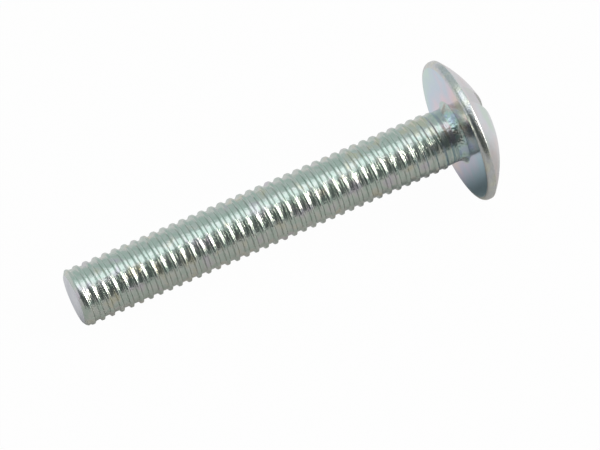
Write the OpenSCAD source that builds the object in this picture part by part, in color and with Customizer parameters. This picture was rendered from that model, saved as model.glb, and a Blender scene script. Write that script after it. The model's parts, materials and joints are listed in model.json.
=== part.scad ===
// Roofing bolt: a mushroom head with one straight slot, a short plain neck and
// a thread rolled along the rest of the shank. It is one piece of cold-headed
// steel wire, and it lies on its head's rim and its last full crest.

/* [Thread] */
// Nominal thread diameter
nominal_d = 6; // [5:0.5:8]
// Pitch of the right-hand thread
pitch = 1; // [0.8:0.05:1.25]
// How far the rolled crests stay under the nominal diameter
crest_undersize = 0.25; // [0:0.05:0.3]
// Thread angle between the two flanks
flank_angle = 60; // [50:1:60]
// Angle at which the groove starts round the axis
thread_start = 225; // [0:15:345]

/* [Shank] */
// Length from the underside of the head to the tip
shank_length = 40; // [16:1:80]
// Length of the plain neck under the head
neck_length = 1.7; // [1.4:0.1:6]
// How far the neck flares out where it meets the head
flare_w = 0.42; // [0.4:0.02:0.6]
// Height of that flare along the neck
flare_h = 0.8; // [0.6:0.05:1.2]
// Height over which the thread fades into the neck
run_out = 1.2; // [0.6:0.1:2]
// Length of the chamfer at the tip
tip_chamfer = 0.3; // [0.1:0.05:0.8]
// Drop in radius of the chamfer at the tip
tip_drop = 0.45; // [0.2:0.05:0.7]

/* [Head] */
// Diameter of the head
head_d = 14.3; // [12:0.1:18]
// Height of the head over its underside
head_h = 3.5; // [2.8:0.1:5]
// Height of the rim below the dome
rim_h = 0.75; // [0.6:0.05:1.2]
// Rounding of the rim's lower edge
rim_round = 0.45; // [0.1:0.05:0.5]
// Rounding where the rim meets the dome
edge_round = 0.15; // [0.05:0.05:0.3]
// Width of the driving slot
slot_w = 1.6; // [0.8:0.1:2.5]
// Depth of the driving slot at the middle of the dome
slot_depth = 1.3; // [0.6:0.1:1.8]
// Angle of the slot round the axis
slot_angle = 12; // [0:1:179]

/* [Hidden] */
$fn = 96;

// Metric thread form: how far the pitch radius and the root lie under the
// nominal radius, as shares of the pitch
pitch_drop = 0.32476;
root_drop = 0.61343;
crest_r = (nominal_d - crest_undersize) / 2;
pitch_r = nominal_d / 2 - pitch_drop * pitch;
root_r = nominal_d / 2 - root_drop * pitch;
flank_slope = tan(flank_angle / 2);
crest_flat = pitch / 2 - 2 * (crest_r - pitch_r) * flank_slope;
flank_run = (crest_r - root_r) * flank_slope;
root_flat = pitch - crest_flat - 2 * flank_run;

// The neck is the drawn wire, as thick as the thread's pitch diameter
neck_r = pitch_r;
neck_start = shank_length - neck_length;

// Facets of the thread
steps = 24;
bury = 0.02;
first_turn = -2;
last_turn = ceil((shank_length - neck_length / 2) / pitch);
turns = last_turn - first_turn;

// Head
head_r = head_d / 2;
dome_h = head_h - rim_h;
dome_r = (head_r * head_r + dome_h * dome_h) / (2 * dome_h);
dome_centre = head_h - dome_r;
edge_r = head_r - edge_round;
edge_z = dome_centre + sqrt(pow(dome_r - edge_round, 2) - edge_r * edge_r);
tangent_share = dome_r / (dome_r - edge_round);
flare_r = (flare_w * flare_w + flare_h * flare_h) / (2 * flare_w);

// How the bolt lies: the rim's lower edge and the first full crest touch the
// ground. crest_edge is where the crest under the bolt starts, from the tip.
crest_turn = (root_flat + flank_run) / pitch - thread_start / 360;
crest_edge = pitch * (crest_turn - floor(crest_turn));
first_crest = crest_edge > tip_chamfer ? crest_edge
    : crest_edge + crest_flat > tip_chamfer ? tip_chamfer
    : crest_edge + pitch;
seat_run = shank_length + rim_round - first_crest;
seat_drop = head_r - rim_round - crest_r;
lie_angle = atan2(seat_drop, seat_run) + asin(rim_round / norm([seat_drop, seat_run]));
lie_height = crest_r * cos(lie_angle) - first_crest * sin(lie_angle);
low_x = -(crest_r - tip_drop) * sin(lie_angle);
high_x = (shank_length + dome_centre) * cos(lie_angle) + dome_r;

// The four points of the thread's section in one turn: along the axis and out from it
section = [
    [0, root_r],
    [root_flat, root_r],
    [root_flat + flank_run, crest_r],
    [root_flat + flank_run + crest_flat, crest_r]
];

// Share of the thread's full height at a height z: 1 on the shank, 0 on the neck
function fade(z) = min(1, max(0, (neck_start - z) / run_out));

// A point of strand k after n steps round the axis
function strand_point(n, k) =
    let (
        angle = 360 * n / steps,
        z = (first_turn + n / steps) * pitch + section[k][0],
        plain_r = neck_r - bury,
        r = plain_r + (section[k][1] - plain_r) * fade(z)
    )
    [r * cos(angle), r * sin(angle), z];

// Index of that point in the list
function strand_index(n, k) = 4 * n + k;

// The rolled part of the shank: four strands wound into one closed skin,
// with a fan at each end down to a point on the axis
module thread() {
    count = turns * steps;
    last = count - steps;
    points = [for (n = [0 : count], k = [0 : 3]) strand_point(n, k)];
    low_tip = len(points);
    high_tip = low_tip + 1;
    low_z = (first_turn - 1) * pitch;
    high_z = (last_turn + 1.5) * pitch;
    flanks = [for (n = [0 : count - 1], k = [0 : 2]) each [
        [strand_index(n, k), strand_index(n, k + 1), strand_index(n + 1, k + 1)],
        [strand_index(n, k), strand_index(n + 1, k + 1), strand_index(n + 1, k)]
    ]];
    joins = [for (n = [0 : last - 1]) each [
        [strand_index(n, 3), strand_index(n + steps, 0), strand_index(n + 1 + steps, 0)],
        [strand_index(n, 3), strand_index(n + 1 + steps, 0), strand_index(n + 1, 3)]
    ]];
    low_edge = [
        for (n = [0 : steps]) strand_index(n, 0),
        for (k = [3 : -1 : 1]) strand_index(0, k)
    ];
    high_edge = [
        for (n = [last : count]) strand_index(n, 3),
        for (k = [2 : -1 : 0]) strand_index(count, k)
    ];
    low_fan = [for (i = [0 : len(low_edge) - 1])
        [low_tip, low_edge[i], low_edge[(i + 1) % len(low_edge)]]];
    high_fan = [for (i = [0 : len(high_edge) - 1])
        [high_tip, high_edge[(i + 1) % len(high_edge)], high_edge[i]]];
    rotate([0, 0, thread_start])
        polyhedron(
            points = concat(points, [[0, 0, low_z], [0, 0, high_z]]),
            faces = concat(flanks, joins, low_fan, high_fan)
        );
}

// The room that the thread may fill: a flat tip with a chamfer
module tip_limit() {
    wide = crest_r + pitch;
    slope = tip_drop / tip_chamfer;
    rotate_extrude()
        polygon([
            [0, 0],
            [crest_r - tip_drop, 0],
            [wide, (wide - crest_r + tip_drop) / slope],
            [wide, shank_length],
            [0, shank_length]
        ]);
}

// Half section of the head, with the underside at height 0
module head_section() {
    intersection() {
        translate([0, dome_centre])
            circle(r = dome_r, $fn = 360);
        square([tangent_share * edge_r, head_h]);
    }
    translate([edge_r, edge_z])
        circle(r = edge_round);
    translate([0, rim_round])
        square([head_r, edge_z - rim_round]);
    translate([head_r - rim_round, rim_round])
        circle(r = rim_round);
    square([head_r - rim_round, rim_round]);
}

// Half section of the neck and of its flare, from the thread up into the head
module neck_section() {
    square([neck_r, neck_length + rim_h]);
    difference() {
        translate([0, neck_length - flare_h])
            square([neck_r + flare_w, flare_h]);
        translate([neck_r + flare_r, neck_length - flare_h])
            circle(r = flare_r);
    }
}

module slot() {
    rotate([0, 0, slot_angle])
        translate([-head_r, -slot_w / 2, head_h - slot_depth])
            cube([head_d, slot_w, slot_depth + 1]);
}

// The whole bolt, standing on its tip
module standing_bolt() {
    intersection() {
        thread();
        tip_limit();
    }
    translate([0, 0, neck_start])
        rotate_extrude()
            neck_section();
    translate([0, 0, shank_length])
        difference() {
            rotate_extrude()
                head_section();
            slot();
        }
}

module bolt() {
    color("lightslategray")
        translate([-(low_x + high_x) / 2, 0, lie_height])
            rotate([0, 90 - lie_angle, 0])
                standing_bolt();
}

bolt();
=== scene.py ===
"""Studio scene of a zinc-plated roofing bolt that lies on its head's rim and its thread."""

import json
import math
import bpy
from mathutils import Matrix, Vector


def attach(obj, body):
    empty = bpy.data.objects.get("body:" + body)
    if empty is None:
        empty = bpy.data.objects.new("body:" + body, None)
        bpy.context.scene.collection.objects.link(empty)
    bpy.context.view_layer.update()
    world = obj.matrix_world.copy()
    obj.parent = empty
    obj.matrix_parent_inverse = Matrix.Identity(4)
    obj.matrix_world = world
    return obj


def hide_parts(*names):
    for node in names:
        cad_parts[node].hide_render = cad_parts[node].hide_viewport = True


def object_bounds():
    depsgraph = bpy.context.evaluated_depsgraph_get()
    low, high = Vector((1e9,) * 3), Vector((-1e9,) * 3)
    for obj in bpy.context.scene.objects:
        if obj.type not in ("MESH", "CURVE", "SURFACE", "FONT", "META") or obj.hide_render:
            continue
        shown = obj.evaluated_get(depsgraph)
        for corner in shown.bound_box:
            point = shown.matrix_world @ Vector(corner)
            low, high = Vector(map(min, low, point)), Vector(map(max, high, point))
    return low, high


bl_info = {
    "name": "Roofing bolt",
    "version": (1, 0, 0),
    "blender": (4, 5, 0),
    "location": "View3D > Sidebar > Bolt",
    "description": "Makes a slotted mushroom-head bolt with a rolled thread, and a studio round it",
    "category": "Add Mesh",
}

import bpy
import numpy as np
from mathutils import Vector

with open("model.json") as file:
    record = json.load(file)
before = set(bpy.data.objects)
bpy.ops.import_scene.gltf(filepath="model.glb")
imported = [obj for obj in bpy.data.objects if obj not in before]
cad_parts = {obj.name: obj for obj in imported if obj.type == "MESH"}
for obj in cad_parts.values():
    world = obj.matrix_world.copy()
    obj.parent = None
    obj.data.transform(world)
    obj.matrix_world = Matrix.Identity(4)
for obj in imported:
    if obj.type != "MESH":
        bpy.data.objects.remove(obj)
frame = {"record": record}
CAD_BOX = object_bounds()

MM = 0.001

# What the frame says of the bolt: where it lies, and the sizes that its mounts give
MOUNTS = {mount["name"]: mount for mount in frame["record"]["mounts"]}
THREAD_MOUNT = MOUNTS["thread"]
AXIS = np.array(MOUNTS["drive_slot"]["axis"]) / np.linalg.norm(MOUNTS["drive_slot"]["axis"])
DOWN = np.array([AXIS[2], 0.0, -AXIS[0]])
SIDE = np.array([0.0, 1.0, 0.0])
THREAD_LENGTH = THREAD_MOUNT["dims"]["length_mm"] * MM
CREST_RADIUS = THREAD_MOUNT["dims"]["r_mm"] * MM
SHANK_MIDDLE = np.array(THREAD_MOUNT["pos_m"])
SHANK_LENGTH = 2 * float((np.array(MOUNTS["head_seat"]["pos_m"]) - SHANK_MIDDLE) @ AXIS)
TIP = SHANK_MIDDLE - AXIS * SHANK_LENGTH / 2
SLOT_FLOOR = float((np.array(MOUNTS["drive_slot"]["pos_m"]) - TIP) @ AXIS)
HEAD_RADIUS = (CAD_BOX[1].y - CAD_BOX[0].y) / 2


def linear(hex_colour):
    """The linear red, green and blue of an sRGB colour written as #rrggbb."""
    shares = [int(hex_colour[i:i + 2], 16) / 255 for i in (1, 3, 5)]
    return [s / 12.92 if s <= 0.04045 else ((s + 0.055) / 1.055) ** 2.4 for s in shares]


def length(name, text, default):
    """A length property, with its default in metres."""
    return bpy.props.FloatProperty(name=name, description=text, default=default, unit="LENGTH", precision=5)


def angle(name, text, degrees):
    """An angle property, with its default in degrees."""
    return bpy.props.FloatProperty(name=name, description=text, default=math.radians(degrees), unit="ROTATION")


def colour(name, text, hex_colour):
    """A colour property, with its default as an sRGB hex value."""
    return bpy.props.FloatVectorProperty(
        name=name, description=text, default=linear(hex_colour), subtype="COLOR", size=3, min=0, max=1)


def amount(name, text, default, top=10.0):
    """A plain number from 0 to top."""
    return bpy.props.FloatProperty(name=name, description=text, default=default, min=0.0, max=top)


class BoltSizes(bpy.types.PropertyGroup):
    """Sizes of the bolt that the frame doesn't give."""

    nominal: length("Nominal diameter", "Thread diameter that the thread form is worked out from", 6.0 * MM)
    pitch: length("Pitch", "Distance from one crest to the next", 1.0 * MM)
    flank: angle("Thread angle", "Angle between the two flanks of a groove", 60)
    start: angle("Thread start", "Angle at which the groove starts round the axis", 225)
    crest_round: length("Crest rounding", "Radius at the crest's two edges", 0.1 * MM)
    depth: length("Thread depth", "Depth of the groove under the crest", 0.24 * MM)
    root_round: length("Root rounding", "Radius at the root's two edges", 0.1 * MM)
    lead: length("Lead", "Length at the tip over which the thread comes to its full depth", 1.6 * MM)
    blunt: amount("Blunt start", "Share of its depth that the thread lacks at the tip", 0.8, 1.0)
    full_length: length("Full thread", "Distance from the tip at which the thread starts to get shallow", 31.0 * MM)
    shallow: amount("Shallow end", "Share of its depth that the thread has lost where it runs out", 0.35, 1.0)
    run_out: length("Run-out", "Length over which the thread fades into the neck", 1.1 * MM)
    last_mark: length("Last mark", "How far the rolling still marks the neck", 0.45 * MM)
    chamfer: length("Tip chamfer", "Length of the chamfer at the tip", 0.3 * MM)
    chamfer_drop: length("Tip drop", "Drop in radius of that chamfer", 0.45 * MM)
    flare_width: length("Flare width", "How far the neck flares out under the head", 0.42 * MM)
    flare_height: length("Flare height", "Height of that flare", 0.8 * MM)
    head_height: length("Head height", "Height of the head over its underside", 3.5 * MM)
    rim_height: length("Rim height", "Height of the rim below the dome", 0.75 * MM)
    rim_round: length("Rim rounding", "Rounding of the rim's lower edge", 0.45 * MM)
    edge_round: length("Edge rounding", "Rounding where the rim meets the dome", 0.15 * MM)
    slot_width: length("Slot width", "Width of the driving slot", 1.6 * MM)
    slot_angle: angle("Slot angle", "Angle of the driving slot round the axis", 12)
    slot_round: length("Slot edge", "Rounding of the slot's upper edges", 0.1 * MM)


class ZincFinish(bpy.types.PropertyGroup):
    """Colours of the bright zinc plating and of its clear passivation, which turns faintly rainbow."""

    base: colour("Zinc", "Colour of most of the plating", "#d7dad8")
    sage: colour("Sage", "Green-grey tint", "#c8d5cf")
    mauve: colour("Mauve", "Red-grey tint", "#d7d2dc")
    straw: colour("Straw", "Yellow-grey tint", "#dbd9cb")
    teal: colour("Teal", "Rainbow's green-blue", "#cfe6e2")
    blue: colour("Blue", "Rainbow's blue", "#cad8ec")
    pink: colour("Pink", "Rainbow's pink", "#ecd4e2")
    peach: colour("Peach", "Rainbow's orange", "#f4dcc8")
    lilac: colour("Lilac", "Rainbow's violet", "#cfcae0")
    # Slate also stands in for the blue of the shaded floor that the underside's lower side reflects: partly rainbow,
    # partly a painted reflection.
    reflected_slate: colour("Slate", "Dark blue end of the rainbow", "#b0d2e2")
    pale: colour("Pale", "Lightest zinc, on the dome", "#dfe0e8")
    mint: colour("Mint", "Green-white zinc, on the dome", "#d3e1db")
    rose: colour("Rose", "Red-white zinc, on the dome", "#e3d9de")
    olive: colour("Olive", "Tint of the coarse grain on the rim", "#e8e7e0")
    shear: colour("Shear", "Light zinc on the sheared tip", "#f1f0f6")
    brown: colour("Brown", "Tint of the drawn wire's neck", "#b3aaa0")


class Studio(bpy.types.PropertyGroup):
    """Floor, lamps and camera."""

    paper: colour("Paper", "Colour of the floor", "#aeadad")
    burnt: amount("Burnt out", "Share of the floor that the camera sees as plain white", 0.98, 1.0)
    back_glow: amount("Glow behind", "Share of plain white in the floor behind the bolt, as the metal shows it", 0.5)
    wall: colour("Walls", "Colour of the light tent round the bolt", "#bcc8c4")
    wall_level: amount("Wall level", "Strength of the light tent", 1.0)
    front_level: amount("Front level", "Share of that light on the camera's side", 0.15)
    right_lift: amount("Right lift", "How many times brighter the tent is beyond the head", 1.45)
    softbox: amount("Softbox level", "Radiance of the softbox overhead", 0.8)
    side: amount("Side light", "Radiance of the softbox beside the camera", 8.0)
    distance: length("Camera distance", "From the camera to the point it looks at", 0.394)
    azimuth: angle("Camera azimuth", "Direction to the camera, from +X towards +Y", 244.446)
    elevation: angle("Camera elevation", "Height of the camera over the floor", 49.063)
    lens: amount("Lens", "Focal length in millimetres on a 36 mm sensor", 250.95, 1000.0)


SHANK_COLUMNS = 96
SIDE_COLUMNS = 90


def place(across, height):
    """Points in the frame, from their two distances across the bolt and their height over its tip."""
    x, y = across
    x, y, height = np.broadcast_arrays(x, y, height)
    return TIP + x[..., None] * DOWN + y[..., None] * SIDE + height[..., None] * AXIS


def on_circle(radius, turn):
    """The two distances across the bolt of a point at that radius and angle."""
    return radius * np.cos(turn), radius * np.sin(turn)


def soft_lower(a, b, soft):
    """The lower of two heights, with a quadratic blend where they are within soft of each other."""
    share = np.clip(0.5 + 0.5 * (b - a) / soft, 0, 1)
    return b + (a - b) * share - soft * share * (1 - share)


def quads(rows, columns, first=0, closed=False):
    """Faces of a grid whose rows follow each other along the profile and whose columns run round it."""
    last = columns if closed else columns - 1
    row, column = np.meshgrid(np.arange(rows - 1), np.arange(last), indexing="ij")
    right = (column + 1) % columns
    corners = [row * columns + column, row * columns + right, (row + 1) * columns + right, (row + 1) * columns + column]
    return first + np.stack(corners, -1).reshape(-1, 4)


def as_quads(triangles):
    """Triangles written as quads that name their last corner twice."""
    return np.concatenate([triangles, triangles[:, 2:]], 1)


class Skin:
    """Points, faces and the finish of each face, gathered patch by patch and welded at the end."""

    def __init__(self):
        self.points, self.lays, self.faces, self.finishes, self.count = [], [], [], [], 0

    def add(self, points, faces, finish, lay=None):
        """Adds a patch whose faces count its own points from 0. Its lay gives each point a place in
        which the first length runs along the marks of rolling or turning."""
        points = points.reshape(-1, 3)
        self.points.append(points)
        self.lays.append(points if lay is None else lay.reshape(-1, 3))
        self.faces.append(faces + self.count)
        self.finishes.append(np.full(len(faces), finish))
        self.count += len(points)

    def grid(self, points, finish, closed=False):
        """Adds a grid of points, rows along the profile and columns round it."""
        self.add(points, quads(points.shape[0], points.shape[1], closed=closed), finish)

    def weld(self):
        """Points that lie at one place become one, and faces that lose too many corners go."""
        points = np.concatenate(self.points)
        lays = np.concatenate(self.lays)
        faces = np.concatenate(self.faces)
        finishes = np.concatenate(self.finishes)
        _, kept, place_of = np.unique(np.round(points / (1e-4 * MM)), axis=0, return_index=True, return_inverse=True)
        faces = place_of.reshape(-1)[faces]
        same = faces == np.roll(faces, -1, 1)
        whole = same.sum(1) == 0
        three = same.sum(1) == 1
        short = faces[three]
        short = short[~same[three]].reshape(-1, 3)
        return points[kept], lays[kept], faces[whole], short, finishes[whole], finishes[three]


def thread_form(sizes):
    """The slope of a flank, half the width of the flat crest, and the distances from the crest's middle
    at which the rounding of the crest starts and ends, and that of the root."""
    half = sizes.flank / 2
    slope = math.tan(half)
    bend = math.tan(math.pi / 4 - half / 2)
    crest = sizes.pitch / 4 - (CREST_RADIUS - pitch_radius(sizes)) * slope
    crest_start = crest - sizes.crest_round * bend
    crest_end = crest_start + sizes.crest_round * math.cos(half)
    root_end = crest + sizes.depth * slope + sizes.root_round * bend
    root_start = root_end - sizes.root_round * math.cos(half)
    return slope, crest, crest_start, crest_end, root_start, root_end


def rounding(radius, run):
    """How far a quarter circle has fallen from its top, at a distance from its middle."""
    return radius * (1 - np.sqrt(1 - np.clip(run / radius, 0, 0.9) ** 2))


def thread_radius(sizes, offset):
    """Radius of the thread at a distance from its crest's middle: a flat crest and a flat root with
    straight flanks between them, and an arc at each bend."""
    slope, crest, crest_start, crest_end, root_start, root_end = thread_form(sizes)
    away = np.abs(offset)
    edge = CREST_RADIUS - rounding(sizes.crest_round, away - crest_start)
    flank = CREST_RADIUS - (away - crest) / slope
    groove = CREST_RADIUS - sizes.depth + rounding(sizes.root_round, root_end - away)
    return np.where(away < crest_end, edge, np.where(away < root_start, flank, groove))


def pitch_radius(sizes):
    """Radius at which crest and groove are equally wide, which is also the drawn wire's."""
    return sizes.nominal / 2 - 0.32476 * sizes.pitch


def crest_offset(sizes):
    """Distance from the start of the groove to the middle of the crest after it."""
    return 0.5835 * sizes.pitch


def section_rows(sizes):
    """Rows of one pitch of thread, as distances from the crest's middle: closer together where the
    section bends."""
    _, _, crest_start, crest_end, root_start, root_end = thread_form(sizes)
    bend = np.array([0.0, 0.3, 0.65, 1.0])
    rows = np.concatenate([
        [0.0], crest_start + (crest_end - crest_start) * bend, [(crest_end + root_start) / 2],
        root_start + (root_end - root_start) * (1 - bend[::-1])])
    return np.concatenate([-rows[:0:-1], rows, [sizes.pitch / 2]])


def add_shank(skin, sizes):
    """The rolled shank: rows wound into a helix, radius a function of the distance from the crest's
    middle, cut off by the tip's chamfer and faded into the neck. Heights are held between the tip and
    the flare, where the rows run together."""
    rows = section_rows(sizes)
    top = SHANK_LENGTH - sizes.flare_height
    turns = math.ceil(top / sizes.pitch) + 4
    step = np.arange(turns * SHANK_COLUMNS + 1)
    turn = sizes.start + 2 * math.pi * (step / SHANK_COLUMNS - 2)
    wound = sizes.pitch * (turn - sizes.start) / (2 * math.pi) - sizes.pitch + crest_offset(sizes)
    height = np.clip(wound[None] + rows[:, None], 0, top)
    radius = shank_radius(sizes, height, wound[None])
    points = place(on_circle(radius, turn[None]), height)
    count = len(rows)
    total = len(step)
    along = quads(count, total)
    joint = np.arange(total - 1 - SHANK_COLUMNS)
    last = (count - 1) * total
    seam = np.stack([last + joint, last + joint + 1, joint + 1 + SHANK_COLUMNS, joint + SHANK_COLUMNS], -1)
    skin.add(points, np.concatenate([along, seam]), 0, helix_lay(sizes, turn[None], height))


def shank_radius(sizes, height, wound):
    """Radius of the shank at a height, where wound is the height of a crest's middle: the thread's
    section, less deep at the tip and near the head, faded into the neck and cut off by the chamfer."""
    offset = height - wound
    groove = thread_radius(sizes, offset - sizes.pitch * np.round(offset / sizes.pitch))
    lacking = sizes.blunt * (1 - np.clip(height / sizes.lead, 0, 1))
    worn = sizes.shallow * np.clip((height - sizes.full_length) / (THREAD_LENGTH - sizes.full_length), 0, 1)
    groove = CREST_RADIUS - (CREST_RADIUS - groove) * (1 - lacking) * (1 - worn)
    fade = np.clip((THREAD_LENGTH + sizes.last_mark - height) / sizes.run_out, 0, 1)
    radius = pitch_radius(sizes) + (groove - pitch_radius(sizes)) * fade
    tip_radius = CREST_RADIUS - sizes.chamfer_drop
    return np.minimum(radius, tip_radius + height * sizes.chamfer_drop / sizes.chamfer)


def helix_lay(sizes, turn, height):
    """Lengths along and across the thread's helix, which start anew on the side that lies down."""
    turn = np.mod(turn, 2 * math.pi) + 0 * height
    across = height - sizes.pitch * turn / (2 * math.pi)
    return np.stack([CREST_RADIUS * turn, across, np.zeros_like(turn)], -1)


def end_circle(sizes, height):
    """Angles and radius of the shank where its rows run together at one height."""
    turn = sizes.start + 2 * math.pi * np.arange(SHANK_COLUMNS) / SHANK_COLUMNS
    wound = sizes.pitch * (turn - sizes.start) / (2 * math.pi) - sizes.pitch + crest_offset(sizes)
    return turn, shank_radius(sizes, height, wound)


def add_tip(skin, sizes):
    """The sheared end of the wire: rings from the middle out to the chamfer."""
    turn, edge = end_circle(sizes, 0.0)
    share = np.array([0.0, 0.25, 0.5, 0.75, 0.92, 1.0])
    points = place(on_circle(share[:, None] * edge[None], turn[None]), 0.0)
    skin.grid(points, 1, closed=True)


def dome(sizes):
    """Radius of the dome and the height of its centre over the tip."""
    rise = sizes.head_height - sizes.rim_height
    radius = (HEAD_RADIUS ** 2 + rise ** 2) / (2 * rise)
    return radius, SHANK_LENGTH + sizes.head_height - radius


def slot_rows(sizes):
    """The slot's section from one lip to the other: distances from its middle, and the drop below the
    dome, which is endless where the floor limits it."""
    half, lip = sizes.slot_width / 2, sizes.slot_round
    bend = np.radians([0, 30, 60, 90])
    lips = half + lip * (1 - np.sin(bend))
    drops = lip * (1 - np.cos(bend))
    floor = half - np.array([0.008, 0.05, 0.14, 0.45]) * MM
    across = np.concatenate([lips, floor, [0.0]])
    drop = np.concatenate([drops, np.full(5, 1.0)])
    foot = np.concatenate([np.zeros(4), np.array([0.09, 0.02, 0.0, 0.0, 0.0]) * MM])
    mirror = slice(-2, None, -1)
    return (np.concatenate([across, -across[mirror]]), np.concatenate([drop, drop[mirror]]),
            np.concatenate([foot, foot[mirror]]))


def head_columns(sizes, cap):
    """Angles of the head's columns: even steps over each side of the dome, and one for each row of the
    slot's section at its two ends."""
    across, _, _ = slot_rows(sizes)
    end = np.arcsin(across[::-1] / cap)
    side = np.linspace(end[-1], math.pi - end[-1], SIDE_COLUMNS + 1)
    half = np.concatenate([end[:-1], side[:-1]])
    return sizes.slot_angle + np.concatenate([half, half + math.pi])


def arc(centre, radius, start, stop, count):
    """Points of an arc in the plane of radius and height, angles in radians."""
    sweep = np.linspace(start, stop, count)
    return np.stack([centre[0] + radius * np.cos(sweep), centre[1] + radius * np.sin(sweep)], -1)


def add_head(skin, sizes):
    """Flare, underside, rim and dome: a profile turned round the axis, with the dome's cap and its slot
    as flat grids that follow the slot."""
    neck = pitch_radius(sizes)
    flare = (sizes.flare_width ** 2 + sizes.flare_height ** 2) / (2 * sizes.flare_width)
    low = SHANK_LENGTH - sizes.flare_height
    sweep = math.asin(sizes.flare_height / flare)
    flare_arc = arc((neck + flare, low), flare, math.pi, math.pi - sweep, 9)
    turn, _ = end_circle(sizes, low)
    foot = np.array([[neck + sizes.flare_width + 0.15 * MM, SHANK_LENGTH]])
    inner = np.concatenate([flare_arc, foot])
    points = place(on_circle(inner[:, None, 0], turn[None]), inner[:, None, 1])
    skin.grid(points, 2, closed=True)

    dome_radius, dome_centre = dome(sizes)
    edge = HEAD_RADIUS - sizes.edge_round
    edge_height = dome_centre + math.sqrt((dome_radius - sizes.edge_round) ** 2 - edge ** 2)
    lean = math.atan2(edge_height - dome_centre, edge)
    cap = HEAD_RADIUS - 0.35 * MM
    columns = head_columns(sizes, cap)
    seat = HEAD_RADIUS - sizes.rim_round
    flat = np.stack([np.linspace(foot[0, 0], seat, 12), np.full(12, SHANK_LENGTH)], -1)
    round_low = arc((seat, SHANK_LENGTH + sizes.rim_round), sizes.rim_round, -math.pi / 2, 0, 8)
    round_high = arc((edge, edge_height), sizes.edge_round, 0, lean, 5)
    brow = np.linspace(round_high[-1, 0], cap, 4)
    brow = np.stack([brow, dome_centre + np.sqrt(dome_radius ** 2 - brow ** 2)], -1)
    for profile, finish in ((flat, 3), (np.concatenate([round_low, round_high]), 4), (brow, 5)):
        points = place(on_circle(profile[:, None, 0], columns[None]), profile[:, None, 1])
        skin.grid(points, finish, closed=True)
    zip_rings(skin, foot[0], turn, columns)
    add_cap(skin, sizes, cap, columns)


def zip_rings(skin, ring, inner, outer):
    """Triangles between two sets of points on one circle, each at its own angles. Both sets lie on the
    inner set's polygon or just outside it, in the plane of the head's underside."""
    inner = np.sort(np.mod(inner, 2 * math.pi))
    outer = np.sort(np.mod(outer, 2 * math.pi))
    inside = place(on_circle(ring[0], inner), ring[1])
    outside = place(on_circle(ring[0], outer), ring[1])
    step_in = (np.arange(len(inner)) + 1) % len(inner)
    step_out = (np.arange(len(outer)) + 1) % len(outer)
    beside_in = (np.searchsorted(outer, inner[step_in], side="right") - 1) % len(outer)
    beside_out = (np.searchsorted(inner, outer[step_out], side="left") - 1) % len(inner)
    first_out = len(inner)
    from_in = np.stack([np.arange(len(inner)), step_in, beside_in + first_out], -1)
    from_out = np.stack([np.arange(len(outer)) + first_out, beside_out, step_out + first_out], -1)
    faces = np.concatenate([from_in, from_out])
    skin.add(np.concatenate([inside, outside]), as_quads(faces), 3)


def dome_height(sizes, x, y):
    """Height of the dome over the tip, at two distances across the bolt."""
    radius, centre = dome(sizes)
    return centre + np.sqrt(radius ** 2 - x ** 2 - y ** 2)


def add_cap(skin, sizes, cap, columns):
    """The dome inside the circle of radius cap: a grid on each side of the slot, from the circle to the
    slot's lip, and one along the slot, whose columns bend so that one of them lies where the floor
    runs out on the dome."""
    across, drop, foot = slot_rows(sizes)
    lip = across[0]
    cos_slot, sin_slot = math.cos(sizes.slot_angle), math.sin(sizes.slot_angle)
    radius, centre = dome(sizes)
    run_out = math.sqrt(radius ** 2 - (SLOT_FLOOR - centre) ** 2)
    side = columns[len(across) - 1:len(across) + SIDE_COLUMNS] - sizes.slot_angle
    even = np.cos(side)
    bend = np.argmin(np.abs(cap * even - run_out))

    def along(distance):
        """Places of the columns along the slot, at a distance from its middle."""
        distance = np.asarray(distance)[..., None]
        end = np.sqrt(cap ** 2 - distance ** 2)
        turn_out = np.sqrt(run_out ** 2 - distance ** 2)
        inner = np.abs(even) <= even[bend] + 1e-9
        share_in = even / even[bend]
        share_out = (np.abs(even) - even[bend]) / (even[0] - even[bend])
        outer = np.sign(even) * (turn_out + (end - turn_out) * share_out)
        return np.where(inner, turn_out * share_in, outer)

    def turned(u, v):
        """Distances across the bolt of a point u along the slot and v off its middle."""
        return u * cos_slot - v * sin_slot, u * sin_slot + v * cos_slot

    share = np.linspace(0, 1, 26)[:, None] ** 1.0
    for sign in (1, -1):
        rim_u, rim_v = sign * cap * np.cos(side), sign * cap * np.sin(side)
        lip_u, lip_v = sign * along(lip), sign * lip
        u = rim_u + (lip_u - rim_u) * share
        v = rim_v + (lip_v - rim_v) * share
        skin.grid(place(turned(u, v), dome_height(sizes, u, v)), 5)
    v = across[:, None]
    u = along(across)
    top = dome_height(sizes, u, v)
    floor = np.maximum(top - drop[:, None], SLOT_FLOOR + foot[:, None])
    height = np.where(top <= SLOT_FLOOR + 1e-9, top, np.minimum(top, floor))
    skin.grid(place(turned(u, v), height), 6)


def mesh_object(name, skin, materials):
    """The welded skin as an object at the origin, smooth but for its sharp edges."""
    points, lays, fours, threes, four_finish, three_finish = skin.weld()
    mesh = bpy.data.meshes.new(name)
    mesh.from_pydata(points.tolist(), [], fours.tolist() + threes.tolist())
    mesh.polygons.foreach_set("material_index", np.concatenate([four_finish, three_finish]))
    for material in materials:
        mesh.materials.append(material)
    mesh.attributes.new("lay", "FLOAT_VECTOR", "POINT").data.foreach_set("vector", lays.ravel())
    mesh.shade_smooth()
    mesh.set_sharp_from_angle(angle=math.radians(38))
    mesh.update()
    piece = bpy.data.objects.new(name, mesh)
    bpy.context.scene.collection.objects.link(piece)
    return piece


def add_node(tree, kind, links=None, **settings):
    """Adds a node, sets its options and sockets by name, and links sockets of other nodes into it."""
    node = tree.nodes.new(kind)
    for key, value in settings.items():
        if hasattr(node, key):
            setattr(node, key, value)
        else:
            node.inputs[key.replace("_", " ")].default_value = value
    for key, source in (links or {}).items():
        tree.links.new(source, node.inputs[key])
    return node


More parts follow.
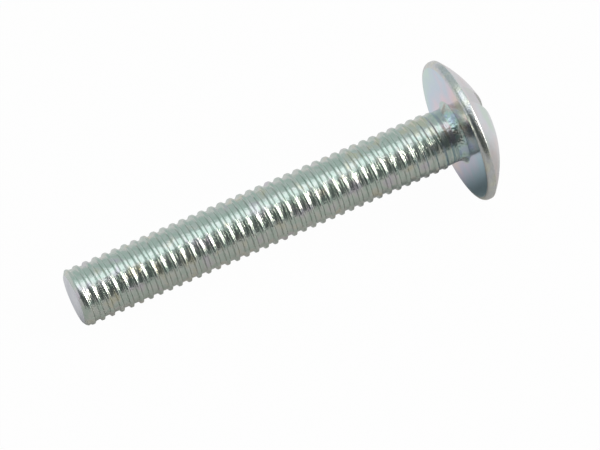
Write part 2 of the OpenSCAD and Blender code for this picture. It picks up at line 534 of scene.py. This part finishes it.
def new_material(name):
    """An empty node material and its output node."""
    material = bpy.data.materials.new(name)
    material.use_nodes = True
    material.node_tree.nodes.clear()
    return material, material.node_tree


def zinc(name, tints, roughness, patch, grain, height, lines=None, pits=0.0, bands=None):
    """Bright zinc electroplate in soft patches of several tints. The grain is even, and pits darken it.
    Lines, given by their width, length and height, run along the lay. Bands, given by a direction and
    the places of the first and the last tint on it, take the tints across the surface in turn."""
    material, tree = new_material(name)
    where = add_node(tree, "ShaderNodeTexCoord")
    place_of = where.outputs["Object"]
    cloud = add_node(tree, "ShaderNodeTexNoise", {"Vector": place_of}, Scale=1 / patch, Detail=2.0)
    ramp = add_node(tree, "ShaderNodeValToRGB", {"Fac": cloud.outputs["Fac"]})
    stops = ramp.color_ramp.elements
    while len(stops) < len(tints):
        stops.new(0.5)
    first, last = (0.0, 1.0) if bands else (0.32, 0.68)
    for i, tint in enumerate(tints):
        stops[i].position = first + (last - first) * i / (len(tints) - 1)
        stops[i].color = (*tint, 1.0)
    if bands:
        direction, low, high = bands
        along = add_node(tree, "ShaderNodeVectorMath", {0: place_of}, operation="DOT_PRODUCT")
        along.inputs[1].default_value = direction
        share = add_node(tree, "ShaderNodeMapRange", {"Value": along.outputs["Value"]}, clamp=False)
        for socket, value in (("From Min", low), ("From Max", high), ("To Min", -0.2), ("To Max", 0.8)):
            share.inputs[socket].default_value = value
        wave = add_node(tree, "ShaderNodeMath", {0: cloud.outputs["Fac"], 2: share.outputs["Result"]},
                        operation="MULTIPLY_ADD")
        wave.inputs[1].default_value = 0.4
        tree.links.new(wave.outputs["Value"], ramp.inputs["Fac"])
    colour_of = ramp.outputs["Color"]
    fine = add_node(tree, "ShaderNodeTexNoise", {"Vector": place_of}, Scale=1 / grain, Detail=3.0)
    if pits:
        dark = add_node(tree, "ShaderNodeMapRange", {"Value": fine.outputs["Fac"]})
        for socket, value in (("From Min", 0.35), ("From Max", 0.6), ("To Min", 1 - pits), ("To Max", 1.0)):
            dark.inputs[socket].default_value = value
        spots = add_node(tree, "ShaderNodeVectorMath", {0: colour_of}, operation="SCALE")
        tree.links.new(dark.outputs["Result"], spots.inputs["Scale"])
        colour_of = spots.outputs["Vector"]
    bump = add_node(tree, "ShaderNodeBump", {"Height": fine.outputs["Fac"]}, Distance=height, Strength=1.0)
    if lines:
        width, run, depth = lines
        lay = add_node(tree, "ShaderNodeAttribute", attribute_name="lay")
        drawn = add_node(tree, "ShaderNodeVectorMath", {0: lay.outputs["Vector"]}, operation="MULTIPLY")
        drawn.inputs[1].default_value = (1 / run, 1 / width, 1.0)
        marks = add_node(tree, "ShaderNodeTexNoise", {"Vector": drawn.outputs["Vector"]}, Scale=1.0, Detail=1.0)
        bump = add_node(tree, "ShaderNodeBump", {"Height": marks.outputs["Fac"], "Normal": bump.outputs["Normal"]},
                        Distance=depth, Strength=1.0)
    shader = add_node(tree, "ShaderNodeBsdfPrincipled", {"Base Color": colour_of, "Normal": bump.outputs["Normal"]},
                      Metallic=1.0, Roughness=roughness)
    add_node(tree, "ShaderNodeOutputMaterial", {"Surface": shader.outputs["BSDF"]})
    return material


def paper(studio):
    """Matte white paper of the studio's floor, which the camera sees nearly burnt out, and which glows plain white
    behind the bolt for rays off the metal: a painted reflection of a bright backdrop.
    """
    material, tree = new_material("matte white paper")
    where = add_node(tree, "ShaderNodeTexCoord")
    fibre = add_node(tree, "ShaderNodeTexNoise", {"Vector": where.outputs["Object"]}, Scale=1 / (0.4 * MM))
    bump = add_node(tree, "ShaderNodeBump", {"Height": fibre.outputs["Fac"]}, Distance=0.01 * MM, Strength=0.2)
    shader = add_node(tree, "ShaderNodeBsdfPrincipled", {"Normal": bump.outputs["Normal"]},
                      Base_Color=(*studio.paper, 1.0), Roughness=0.9)
    shader.inputs["Specular IOR Level"].default_value = 0.1
    white = add_node(tree, "ShaderNodeEmission", Strength=1.0)
    ray = add_node(tree, "ShaderNodeLightPath")
    # Painted glow: behind the bolt the floor gives off white light that only the metal's reflections see, fading out
    # towards the front.
    place_of = add_node(tree, "ShaderNodeSeparateXYZ", {"Vector": where.outputs["Object"]})
    level = add_node(tree, "ShaderNodeMapRange", {"Value": place_of.outputs["Y"]}, interpolation_type="SMOOTHSTEP")
    for socket, value in (("From Min", -0.003), ("From Max", 0.002), ("To Min", 0.0), ("To Max", studio.back_glow)):
        level.inputs[socket].default_value = value
    shown = add_node(tree, "ShaderNodeMath", {0: ray.outputs["Is Glossy Ray"], 1: level.outputs["Result"]},
                     operation="MULTIPLY")
    share = add_node(tree, "ShaderNodeMath", {0: ray.outputs["Is Camera Ray"], 2: shown.outputs["Value"]},
                     operation="MULTIPLY_ADD")
    share.inputs[1].default_value = studio.burnt
    mixed = add_node(tree, "ShaderNodeMixShader", {"Fac": share.outputs["Value"]})
    tree.links.new(shader.outputs["BSDF"], mixed.inputs[1])
    tree.links.new(white.outputs["Emission"], mixed.inputs[2])
    add_node(tree, "ShaderNodeOutputMaterial", {"Surface": mixed.outputs["Shader"]})
    return material


def make_floor(studio):
    """A round sheet of paper at height 0, as rings and spokes."""
    radius = np.array([0.0, 0.05, 0.2, 0.6, 2.0])[:, None]
    turn = np.linspace(0, 2 * math.pi, 96, endpoint=False)[None]
    points = np.stack([radius * np.cos(turn), radius * np.sin(turn), np.zeros_like(radius * turn)], -1)
    skin = Skin()
    skin.grid(points[:, ::-1], 0, closed=True)
    floor = mesh_object("floor", skin, [paper(studio)])
    return floor


def make_world(studio):
    """The light tent: an even pale light that is darker on the camera's side."""
    world = bpy.data.worlds.new("light tent")
    bpy.context.scene.world = world
    world.use_nodes = True
    tree = world.node_tree
    tree.nodes.clear()
    where = add_node(tree, "ShaderNodeTexCoord")
    low = math.radians(14)
    front = (math.cos(studio.azimuth) * math.cos(low), math.sin(studio.azimuth) * math.cos(low), math.sin(low))
    facing = add_node(tree, "ShaderNodeVectorMath", {0: where.outputs["Generated"]}, operation="DOT_PRODUCT")
    facing.inputs[1].default_value = front
    dim = add_node(tree, "ShaderNodeMapRange", {"Value": facing.outputs["Value"]}, interpolation_type="SMOOTHSTEP")
    dim.inputs["From Min"].default_value = 0.3
    dim.inputs["From Max"].default_value = 0.8
    dim.inputs["To Min"].default_value = studio.wall_level
    dim.inputs["To Max"].default_value = studio.wall_level * studio.front_level
    across = add_node(tree, "ShaderNodeSeparateXYZ", {"Vector": where.outputs["Generated"]})
    lift = add_node(tree, "ShaderNodeMapRange", {"Value": across.outputs["X"]}, interpolation_type="SMOOTHSTEP")
    for socket, value in (("From Min", 0.2), ("From Max", 0.9), ("To Min", 1.0), ("To Max", studio.right_lift)):
        lift.inputs[socket].default_value = value
    level = add_node(tree, "ShaderNodeMath", {0: dim.outputs["Result"], 1: lift.outputs["Result"]}, operation="MULTIPLY")
    light = add_node(tree, "ShaderNodeBackground", {"Strength": level.outputs["Value"]}, Color=(*studio.wall, 1.0))
    add_node(tree, "ShaderNodeOutputWorld", {"Surface": light.outputs["Background"]})


def make_softbox(name, level, size, place_at, aim, tint):
    """A rectangular area lamp of a given radiance and tint, which faces a point."""
    lamp = bpy.data.lights.new(name, "AREA")
    lamp.shape = "RECTANGLE"
    lamp.size, lamp.size_y = size
    lamp.energy = level * math.pi * size[0] * size[1]
    lamp.color = linear(tint)
    holder = bpy.data.objects.new(name, lamp)
    holder.location = place_at
    holder.rotation_mode = "QUATERNION"
    holder.rotation_quaternion = (Vector(aim) - Vector(place_at)).to_track_quat("-Z", "Y")
    bpy.context.scene.collection.objects.link(holder)
    return holder


def make_camera(studio):
    """The camera looks down on the bolt along its own direction, with no roll."""
    aim = Vector((0.684, -2.545, 5.0)) * MM
    level = math.cos(studio.elevation)
    away = Vector((level * math.cos(studio.azimuth), level * math.sin(studio.azimuth), math.sin(studio.elevation)))
    data = bpy.data.cameras.new("camera")
    data.sensor_width = 36.0
    data.sensor_fit = "HORIZONTAL"
    data.lens = studio.lens
    data.clip_start, data.clip_end = 0.01, 10.0
    camera = bpy.data.objects.new("camera", data)
    camera.location = aim + away * studio.distance
    camera.rotation_mode = "QUATERNION"
    camera.rotation_quaternion = (-away).to_track_quat("-Z", "Y")
    bpy.context.scene.collection.objects.link(camera)
    bpy.context.scene.camera = camera


class MakeBolt(bpy.types.Operator):
    """Makes the bolt's skin and its zinc finishes"""

    bl_idname = "mesh.roofing_bolt"
    bl_label = "Roofing bolt"

    def execute(self, context):
        sizes = context.scene.bolt_sizes
        finish = context.scene.zinc_finish
        skin = Skin()
        add_shank(skin, sizes)
        add_tip(skin, sizes)
        add_head(skin, sizes)
        thread_tints = [finish.straw, finish.base, finish.sage, finish.base, finish.mauve]
        under_tints = [finish.teal, finish.blue, finish.pink, finish.peach, finish.lilac, finish.reflected_slate, finish.reflected_slate]
        dome_tints = [finish.mint, finish.pale, finish.rose, finish.pale]
        neck_tints = [finish.brown, finish.base, finish.teal, finish.blue]
        grain_tints = [finish.olive, finish.pale, finish.olive]
        tip_tints = [finish.shear, finish.pale]
        plain_tints = [finish.base, finish.mauve]
        # The underside's bands run from pale teal at the upper left to slate at the lower side: partly the
        # passivation's rainbow, partly a painted reflection of the bright floor behind the bolt and the shaded floor
        # beneath it.
        top_left = -0.42 * DOWN + 0.91 * SIDE
        middle = float((TIP + SHANK_LENGTH * AXIS) @ top_left)
        materials = [
            zinc("zinc on the rolled thread", thread_tints, 0.22, 2.0 * MM, 0.25 * MM, 0.03 * MM,
                 (0.09 * MM, 1.6 * MM, 0.022 * MM)),
            zinc("zinc on the sheared tip", tip_tints, 0.35, 2.0 * MM, 0.2 * MM, 0.01 * MM),
            zinc("zinc on the neck", neck_tints, 0.2, 1.2 * MM, 0.35 * MM, 0.15 * MM),
            zinc("zinc on the pressed underside", under_tints, 0.16, 2.5 * MM, 0.5 * MM, 0.006 * MM,
                 bands=(top_left, middle + 7 * MM, middle - 7 * MM)),
            zinc("zinc on the grainy rim", grain_tints, 0.22, 1.5 * MM, 0.12 * MM, 0.02 * MM, pits=0.25),
            zinc("zinc on the dome", dome_tints, 0.3, 4.0 * MM, 0.2 * MM, 0.01 * MM),
            zinc("zinc in the slot", plain_tints, 0.3, 2.0 * MM, 0.2 * MM, 0.01 * MM),
        ]
        bolt = mesh_object("zinc_bolt", skin, materials)
        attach(bolt, "root")
        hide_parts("bolt")
        return {"FINISHED"}


class MakeStudio(bpy.types.Operator):
    """Makes the paper floor, the light tent, the softboxes and the camera"""

    bl_idname = "scene.bolt_studio"
    bl_label = "Studio"

    def execute(self, context):
        studio = context.scene.bolt_studio
        make_floor(studio)
        make_world(studio)
        make_softbox("overhead softbox", studio.softbox, (0.7, 0.36), (-0.1, 0.05, 0.6), (-0.1, 0.05, 0), "#f8fcff")
        make_softbox("side softbox", studio.side, (0.36, 0.44), (0.444, -0.24, 0.36), (0, 0, 0), "#fff8ea")
        make_camera(studio)
        context.scene.view_settings.view_transform = "Standard"
        return {"FINISHED"}


class BoltPanel(bpy.types.Panel):
    """Lists the sizes, the finish and the studio"""

    bl_label = "Roofing bolt"
    bl_idname = "VIEW3D_PT_roofing_bolt"
    bl_space_type = "VIEW_3D"
    bl_region_type = "UI"
    bl_category = "Bolt"

    def draw(self, context):
        for group, maker in (("bolt_sizes", MakeBolt), ("zinc_finish", None), ("bolt_studio", MakeStudio)):
            owner = getattr(context.scene, group)
            for key in owner.__annotations__:
                self.layout.prop(owner, key)
            if maker:
                self.layout.operator(maker.bl_idname)


CLASSES = (BoltSizes, ZincFinish, Studio, MakeBolt, MakeStudio, BoltPanel)


def register():
    for each in CLASSES:
        bpy.utils.register_class(each)
    bpy.types.Scene.bolt_sizes = bpy.props.PointerProperty(type=BoltSizes)
    bpy.types.Scene.zinc_finish = bpy.props.PointerProperty(type=ZincFinish)
    bpy.types.Scene.bolt_studio = bpy.props.PointerProperty(type=Studio)


def unregister():
    del bpy.types.Scene.bolt_studio
    del bpy.types.Scene.zinc_finish
    del bpy.types.Scene.bolt_sizes
    for each in reversed(CLASSES):
        bpy.utils.unregister_class(each)


def main():
    register()
    bpy.ops.scene.bolt_studio()
    bpy.ops.mesh.roofing_bolt()


if __name__ == "__main__":
    main()
